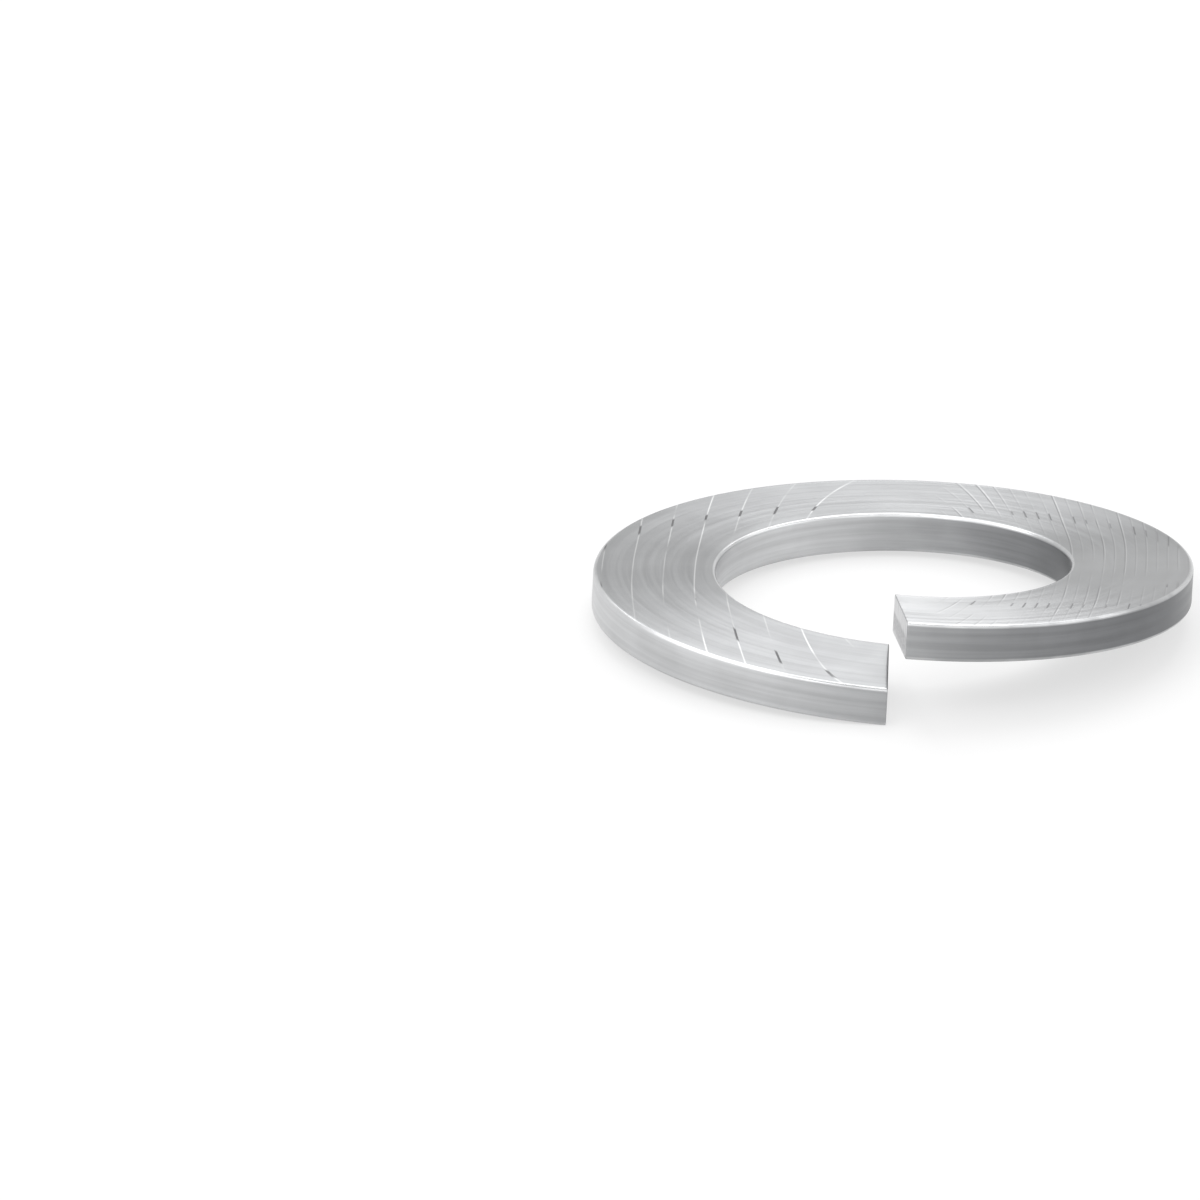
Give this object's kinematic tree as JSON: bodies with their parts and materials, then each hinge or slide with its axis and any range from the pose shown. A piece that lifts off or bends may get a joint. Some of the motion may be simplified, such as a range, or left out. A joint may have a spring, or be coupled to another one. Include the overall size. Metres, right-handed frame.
{
  "type": "spring lock washer",
  "caption": "Split helical spring lock washer: one turn of flat wire, cut through at the front with its two ends sprung apart.",
  "frame": {"origin": "on the bolt hole's axis, level with the lowest point of the low end", "axes": "+Z along the bolt hole's axis, from the low end to the high end; the split faces -Y"},
  "size_m": [0.0274, 0.0274, 0.005],
  "materials": {
    "spring_steel": "satin, fine drawn and coiled lines along the wire"
  },
  "bodies": {
    "root": {"lock_washer": "spring_steel"}
  },
  "joints": []
}
